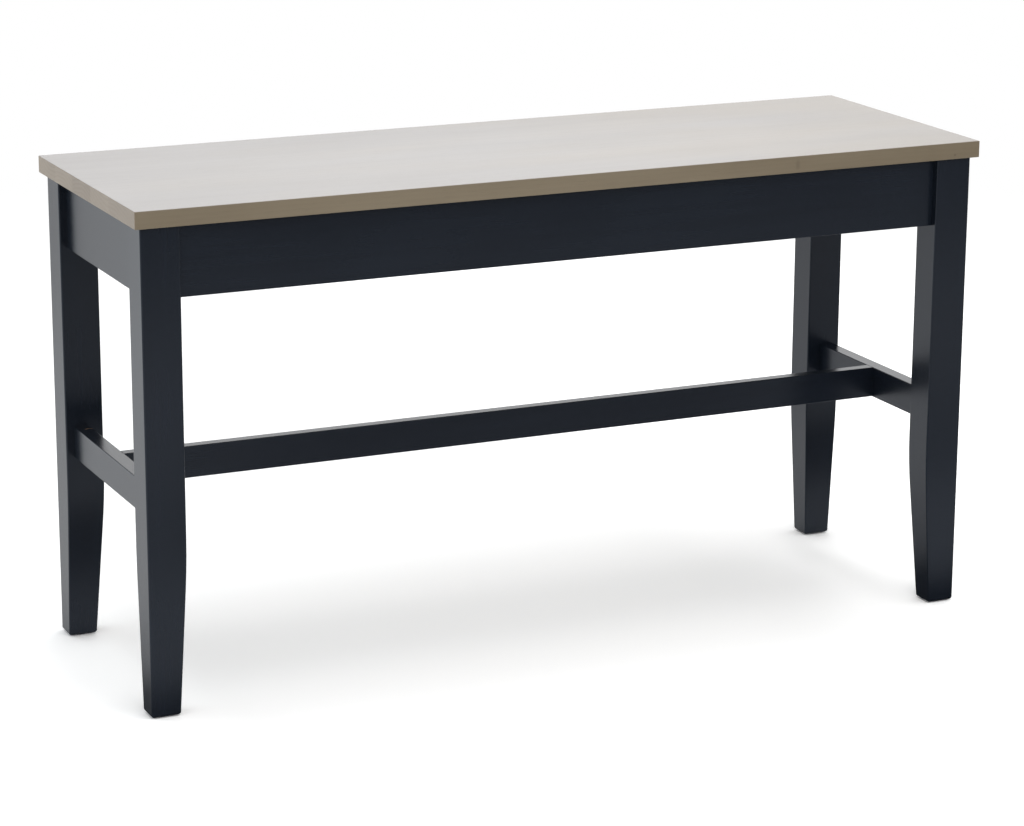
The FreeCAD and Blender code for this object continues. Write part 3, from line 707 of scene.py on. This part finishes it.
def model_glide(radius, nail_top):
    """A nail-on glide: a dished disc with a rounded rim, a nail head in its middle, the nail above."""
    glide = begin_disc(GLIDE_SIDES, radius, 0, GLIDE_THICKNESS)
    pick_rims(radius, 0)
    bpy.ops.mesh.bevel(offset=GLIDE_ROUNDING, segments=4)
    pick_end(0)
    for share, depth in GLIDE_STEPS:
        bpy.ops.mesh.inset(thickness=share * radius, depth=depth)
    pick_end(GLIDE_THICKNESS)
    bpy.ops.mesh.inset(thickness=radius - NAIL_RADIUS)
    pull(0, 0, nail_top - GLIDE_THICKNESS - NAIL_POINT)
    pull(0, 0, NAIL_POINT)
    bpy.ops.mesh.merge(type="CENTER")
    finish_mesh()
    return glide


# Fasteners and glides: their places, read from the CAD solids

# Each copy is turned this much further about its axis, in radians
COPY_TURN = 2.4


def span_of(points, axis):
    """The lowest and highest value of some points along an axis."""
    values = [point[axis] for point in points]
    return min(values), max(values)


def middle_of(points):
    return Vector(sum(span_of(points, axis)) / 2 for axis in range(3))


def solids(node):
    """The points of each solid in a CAD group, from a copy that is taken apart and thrown away."""
    copy = nodes[node].copy()
    copy.data = copy.data.copy()
    scene.collection.objects.link(copy)
    select_only(copy)
    mode("EDIT")
    merge_doubles()
    bpy.ops.mesh.separate(type="LOOSE")
    mode("OBJECT")
    found = [[vertex.co.copy() for vertex in solid.data.vertices] for solid in bpy.context.selected_objects]
    bpy.ops.object.delete()
    return sorted(found, key=lambda points: [round(value, 4) for value in middle_of(points)])


def bolt_place(washer):
    """A washer's middle and the way from its leg to its nut."""
    middle = middle_of(washer)
    return middle, Vector((-math.copysign(1, middle.x), -math.copysign(1, middle.y), 0))


def screw_place(points):
    """Where a screw's head sits, which way it points and how far its shank goes."""
    spans = [span_of(points, axis) for axis in range(3)]
    axis = max(range(3), key=lambda one: spans[one][1] - spans[one][0])
    low, high = spans[axis]
    seat = middle_of(points)
    way = Vector((0, 0, 0))
    head_is_low = len([point for point in points if point[axis] < low + HEAD_HEIGHT / 2]) > 2
    if head_is_low:
        way[axis] = 1
        seat[axis] = low + HEAD_HEIGHT
    else:
        way[axis] = -1
        seat[axis] = high - HEAD_HEIGHT
    return seat, way, high - low - HEAD_HEIGHT


def set_in_place(name, model, places, finish, node):
    """Copies a model to its places, each turned further about its axis, as one piece for a node."""
    copies = []
    for count, (place, way) in enumerate(places):
        copy = model.copy()
        copy.data = model.data.copy()
        scene.collection.objects.link(copy)
        copy.location = place
        copy.rotation_mode = "QUATERNION"
        copy.rotation_quaternion = way.to_track_quat("Z", "Y") @ Quaternion(UP, COPY_TURN * count)
        copies.append(copy)
    select_only(*copies)
    bpy.ops.object.transform_apply(location=True, rotation=True, scale=True)
    piece = join_pieces(*copies)
    piece.name = name
    piece.data.name = name
    piece.data.materials.append(finish)
    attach(piece, "root")
    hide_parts(node)


zinc = zinc_plate()
bolt_places = [bolt_place(washer) for washer in solids("bolt_washers")]
screws = {node: [screw_place(points) for points in solids(node)] for node in ("block_screws", "seat_screws")}
fasteners = [
    ("threaded_hanger_bolts", model_bolt(), bolt_places, "hanger_bolts"),
    ("chamfered_bolt_nuts", model_nut(), bolt_places, "bolt_nuts"),
    ("rounded_bolt_washers", model_washer(), bolt_places, "bolt_washers"),
]
for node, found in screws.items():
    reach = found[0][2]
    places = [place[:2] for place in found]
    fasteners.append((f"cross_recess_{node}", model_screw(reach), places, node))
for name, model, places, node in fasteners:
    set_in_place(name, model, places, zinc, node)
    bpy.data.objects.remove(model)

plastic = glide_plastic()
low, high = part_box(f"glide_{CORNERS[0]}")
glide = model_glide((high.x - low.x) / 2, high.z)
for corner in CORNERS:
    low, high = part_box(f"glide_{corner}")
    foot = Vector(((low.x + high.x) / 2, (low.y + high.y) / 2, 0))
    set_in_place(f"dished_glide_{corner}", glide, [(foot, UP)], plastic, f"glide_{corner}")
bpy.data.objects.remove(glide)


# Camera, as fitted to the photograph, with its turns in degrees

PHOTO_WIDTH = 1024
FOCAL_PIXELS = 3275.2
SENSOR_WIDTH = 36.0
CAMERA_PLACE = (-1.68264, -3.64892, 1.36085)
CAMERA_TURN = (74.8056, -0.2548, -24.6332)
CAMERA_REACH = 100.0

lens = bpy.data.cameras.new("photo_camera")
lens.sensor_fit = "HORIZONTAL"
lens.sensor_width = SENSOR_WIDTH
lens.lens = FOCAL_PIXELS * SENSOR_WIDTH / PHOTO_WIDTH
lens.clip_end = CAMERA_REACH
camera = bpy.data.objects.new("photo_camera", lens)
camera.location = CAMERA_PLACE
camera.rotation_euler = [math.radians(angle) for angle in CAMERA_TURN]
scene.collection.objects.link(camera)
scene.camera = camera


# Lamps

def softbox(name, place, target, size, power, tone=(1, 1, 1)):
    """A large soft lamp that faces a point."""
    lamp = bpy.data.lights.new(name, "AREA")
    lamp.shape = "RECTANGLE"
    lamp.size, lamp.size_y = size
    lamp.energy = power
    lamp.color = tone
    box = bpy.data.objects.new(name, lamp)
    box.location = place
    box.rotation_euler = (Vector(target) - Vector(place)).to_track_quat("-Z", "Y").to_euler()
    box.visible_camera = False
    scene.collection.objects.link(box)


softbox(
    "left_softbox",
    place=(-1.7, 0.7, 0.5),
    target=(-0.5, 0.0, 0.2),
    size=(2.2, 1.4),
    power=7.3,
    tone=(0.84, 0.94, 1.0),
)
softbox("overhead_softbox", place=(0.45, -0.1, 4.0), target=(0, 0, 0), size=(2.0, 2.0), power=50)
softbox("front_softbox", place=(0.2, -3.0, 2.1), target=(0, 0, 0.3), size=(2.4, 1.2), power=26)
softbox("back_softbox", place=(1.0, 3.0, 1.2), target=(0, 0, 0.4), size=(3.0, 1.2), power=7.8)


# World: white to the eye, dimmer as light on the bench, and white in its gloss only low at the back

AMBIENT = 0.7
FRONT_GLOSS = 0.1
TO_THE_BACK = (-0.4, 0.5)
LOW_DOWN = (0.42, 0.3)

world = bpy.data.worlds.new("studio")
world.use_nodes = True
scene.world = world
tree = world.node_tree
background = tree.nodes["Background"]
background.inputs["Color"].default_value = (1, 1, 1, 1)
direction = Socket(tree, tree.nodes.new("ShaderNodeTexCoord").outputs["Generated"])
seen, glossy, clear = ray_kinds(tree, "Camera", "Glossy", "Transmission")
beyond, above = axes(direction)[1:]
gloss = FRONT_GLOSS + (1 - FRONT_GLOSS) * slope(beyond, *TO_THE_BACK) * slope(above, *LOW_DOWN)
strength = AMBIENT * (1 - seen - glossy - clear) + seen + clear + glossy * gloss
strength.feed(background, "Strength")


# Floor

FLOOR_SIDES = 96
FLOOR_RADIUS = 4.6
FLOOR_DROP = 0.5 * MM
FLOOR_TONE = 0.9
FLOOR_ROUGHNESS = 0.6
FLOOR_SPECULAR = 0.2
FLOOR_FADE = (2.0, 3.0)
GLOSS_REACH = 1.4

# How much lighter the floor is to the eye, all over, and with painted light towards the bench's ends, which
# lifts the bench's shadow there
SEEN_LIFT = 0.3
ENDS_PAINTED_LIGHT = 0.245
LEFT_END = (-0.43, -0.56)
RIGHT_END = (0.3, 0.56)

# How much lighter the floor is in the bench's gloss, and how much painted shade, seen only in that gloss,
# darkens it where front faces mirror it (all of them, then the back legs, the centre stretcher and the
# apron) and where left faces do
GLOSS_LIFT = 0.1
FRONT_SHADE, FRONT_SPAN = 0.3, (0.3, -0.1)
LEG_SHADE, LEG_SPAN = 0.65, (0.05, -0.1, -0.2, -0.35)
STRETCHER_SHADE, STRETCHER_SPAN = 0.4, (-0.62, -0.75, -1.0, -1.25)
MIDDLE_SHADE, MIDDLE_SPAN = 0.3, (-0.2, 0.0, 0.8, 0.86)
APRON_SHADE, APRON_SPAN = 0.7, (-2.05, -2.5)
CLEAR_OF_LEFT = (-0.75, -0.55)
NEAR_LEFT_SHARE, NEAR_LEFT_SPAN = 0.88, (-0.3, 0.1)
NEAR_BACK_SHADE, NEAR_BACK_SPAN = 0.07, (0.15, 0.6)
FAR_BACK_SHADE, FAR_BACK_SPAN = 0.04, (1.0, 1.8)


def pale_floor():
    """A pale floor that fades into the white world, further out in gloss than to the eye."""
    material, shader, point = new_material("pale_floor")
    tree = material.node_tree
    x, y = axes(point)[:2]
    seen, glossy = ray_kinds(tree, "Camera", "Glossy")
    # Painted light: to the eye, the floor is lighter towards the bench's ends, which lifts the bench's
    # shadow there
    ends = slope(x, *LEFT_END) + slope(x, *RIGHT_END)
    # Painted shade, seen only in the bench's gloss: the floor is darker where its front and left faces
    # mirror it
    stretcher = STRETCHER_SHADE + MIDDLE_SHADE * band(x, *MIDDLE_SPAN)
    front = FRONT_SHADE * slope(y, *FRONT_SPAN) + LEG_SHADE * band(y, *LEG_SPAN)
    front = front + stretcher * band(y, *STRETCHER_SPAN) + APRON_SHADE * slope(y, *APRON_SPAN)
    near = NEAR_LEFT_SHARE + (1 - NEAR_LEFT_SHARE) * slope(x, *NEAR_LEFT_SPAN)
    front = front * slope(x, *CLEAR_OF_LEFT) * near
    back = NEAR_BACK_SHADE * slope(y, *NEAR_BACK_SPAN) + FAR_BACK_SHADE * slope(y, *FAR_BACK_SPAN)
    pale = FLOOR_TONE + seen * (SEEN_LIFT + ENDS_PAINTED_LIGHT * ends) + glossy * (GLOSS_LIFT - front - back)
    point.node("ShaderNodeCombineColor", {}, {0: pale, 1: pale, 2: pale}).feed(shader, "Base Color")
    shader.inputs["Roughness"].default_value = FLOOR_ROUGHNESS
    shader.inputs["Specular IOR Level"].default_value = FLOOR_SPECULAR
    away = slope(length(x, y) - GLOSS_REACH * glossy, *FLOOR_FADE)
    lit = Socket(tree, shader.outputs[0])
    gone = point.node("ShaderNodeBsdfTransparent", {}, {})
    fade = point.node("ShaderNodeMixShader", {}, {0: away, 1: lit, 2: gone})
    fade.feed(tree.nodes["Material Output"], "Surface")
    return material


floor = begin(
    bpy.ops.mesh.primitive_circle_add,
    vertices=FLOOR_SIDES,
    radius=FLOOR_RADIUS,
    fill_type="NGON",
    location=(0, 0, -FLOOR_DROP),
)
floor.name = "studio_floor"
floor.data.materials.append(pale_floor())

scene.view_settings.view_transform = "Standard"
